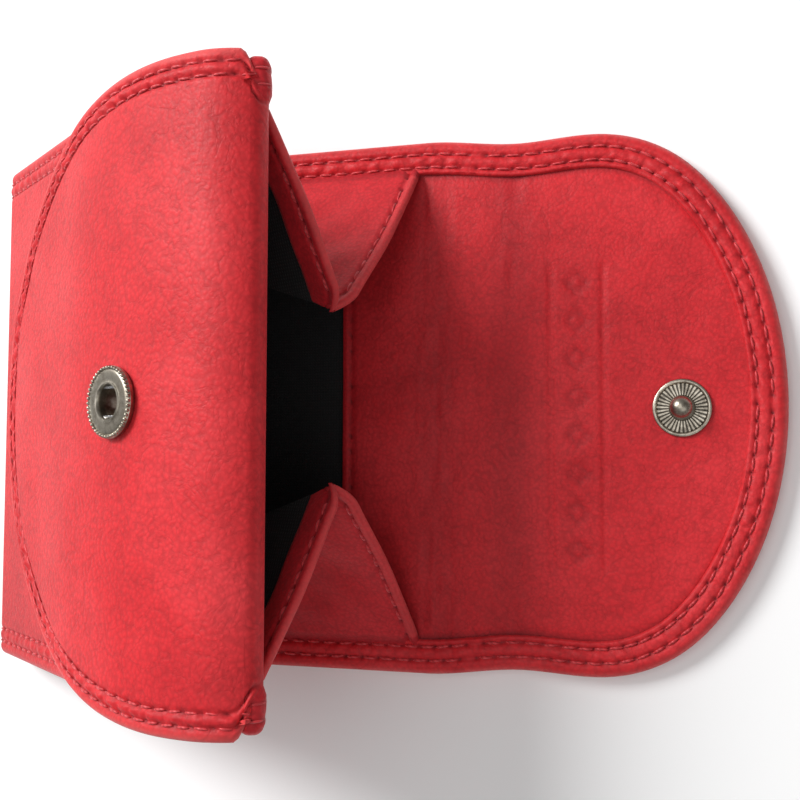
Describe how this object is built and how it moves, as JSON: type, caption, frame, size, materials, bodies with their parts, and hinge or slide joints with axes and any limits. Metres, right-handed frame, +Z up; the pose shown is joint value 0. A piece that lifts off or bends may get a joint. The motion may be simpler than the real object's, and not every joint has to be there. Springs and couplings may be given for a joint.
{
  "type": "coin purse",
  "caption": "Leather coin purse with a wrap-over flap, a D-shaped front panel, V-pleat side gussets and a snap fastener, open with its flap laid flat.",
  "frame": {"origin": "middle of the open purse's footprint, on the surface it lies on", "axes": "+X from the bottom fold to the flap's tip, +Y across the purse, +Z up away from the surface"},
  "size_m": [0.1178, 0.0818, 0.0394],
  "materials": {
    "outer_leather": "pebbled semi-matt nappa, red",
    "facing_leather": "smooth semi-matt leather, red",
    "gusset_leather": "thin skived nappa, red",
    "thread": "twisted polyester sewing thread, dark red",
    "pocket_lining": "black twill",
    "interlining": "woven cotton reinforcement",
    "board": "bonded leather board",
    "nickel": "antique nickel plating, rubbed bright on edges",
    "spring_steel": "drawn spring wire"
  },
  "bodies": {
    "back": {"back_board": "board", "back_facing": "facing_leather", "back_hem_lower": "outer_leather", "back_hem_upper": "outer_leather", "back_leather": "outer_leather", "back_lining": "pocket_lining", "back_seams": "thread"},
    "spine": {"spine_facing": "facing_leather", "spine_hem_lower": "outer_leather", "spine_hem_upper": "outer_leather", "spine_interlining": "interlining", "spine_leather": "outer_leather", "spine_seams": "thread"},
    "flap": {"flap_board": "board", "flap_facing": "facing_leather", "flap_hem": "outer_leather", "flap_leather": "outer_leather", "flap_seams": "thread", "snap_cap": "nickel", "snap_stud": "nickel"},
    "front": {"front_board": "board", "front_lining": "pocket_lining", "front_panel": "outer_leather", "front_seams": "thread", "front_wall": "outer_leather", "snap_eyelet": "nickel", "snap_socket": "nickel"},
    "gusset_upper_back": {"gusset_upper_back_hem": "gusset_leather", "gusset_upper_back_leather": "gusset_leather", "gusset_upper_back_seam": "thread"},
    "gusset_lower_back": {"gusset_lower_back_hem": "gusset_leather", "gusset_lower_back_leather": "gusset_leather", "gusset_lower_back_seam": "thread"},
    "gusset_upper_front": {"gusset_upper_front_hem": "gusset_leather", "gusset_upper_front_leather": "gusset_leather", "gusset_upper_front_seam": "thread"},
    "gusset_lower_front": {"gusset_lower_front_hem": "gusset_leather", "gusset_lower_front_leather": "gusset_leather", "gusset_lower_front_seam": "thread"},
    "wire_upper": {"snap_wire_upper": "spring_steel"},
    "wire_lower": {"snap_wire_lower": "spring_steel"}
  },
  "joints": [
    {"name": "flap_fold_lower", "type": "hinge", "parent": "back", "child": "spine", "pos_m": [0.0117, 0, 0.003], "axis": [0, -1, 0], "range_deg": [0, 90]},
    {"name": "flap_fold_upper", "type": "hinge", "parent": "spine", "child": "flap", "pos_m": [0.0224, 0, 0.003], "axis": [0, -1, 0], "range_deg": [0, 82.3]},
    {"name": "front_fold", "type": "hinge", "parent": "back", "child": "front", "pos_m": [-0.0559, 0, 0.003], "axis": [0, 1, 0], "range_deg": [0, 27]},
    {"name": "gusset_upper_back_fold", "type": "hinge", "parent": "back", "child": "gusset_upper_back", "pos_m": [-0.05, 0.0324, 0.0039], "axis": [1, 0, 0], "range_deg": [0, 37]},
    {"name": "gusset_lower_back_fold", "type": "hinge", "parent": "back", "child": "gusset_lower_back", "pos_m": [-0.05, -0.0324, 0.0039], "axis": [-1, 0, 0], "range_deg": [0, 37]},
    {"name": "gusset_upper_front_fold", "type": "hinge", "parent": "front", "child": "gusset_upper_front", "pos_m": [-0.0509, 0.033, 0.0076], "axis": [-0.8906, -0.0169, -0.4546], "range_deg": [0, 33.6]},
    {"name": "gusset_lower_front_fold", "type": "hinge", "parent": "front", "child": "gusset_lower_front", "pos_m": [-0.0509, -0.033, 0.0076], "axis": [0.8906, -0.0169, 0.4546], "range_deg": [0, 33.6]},
    {"name": "wire_upper_spread", "type": "slide", "parent": "front", "child": "wire_upper", "axis": [0, 1, 0], "range_m": [0, 0.00035], "stiffness_N_per_m": 3000},
    {"name": "wire_lower_spread", "type": "slide", "parent": "front", "child": "wire_lower", "axis": [0, -1, 0], "range_m": [0, 0.00035], "stiffness_N_per_m": 3000}
  ],
  "couplings": [
    {"joint": "flap_fold_upper", "follows": "flap_fold_lower", "ratio": 0.9144},
    {"joint": "front_fold", "follows": "flap_fold_lower", "ratio": 0.3},
    {"joint": "gusset_upper_back_fold", "follows": "flap_fold_lower", "ratio": 0.4111},
    {"joint": "gusset_lower_back_fold", "follows": "flap_fold_lower", "ratio": 0.4111},
    {"joint": "gusset_upper_front_fold", "follows": "flap_fold_lower", "ratio": 0.3733},
    {"joint": "gusset_lower_front_fold", "follows": "flap_fold_lower", "ratio": 0.3733}
  ]
}
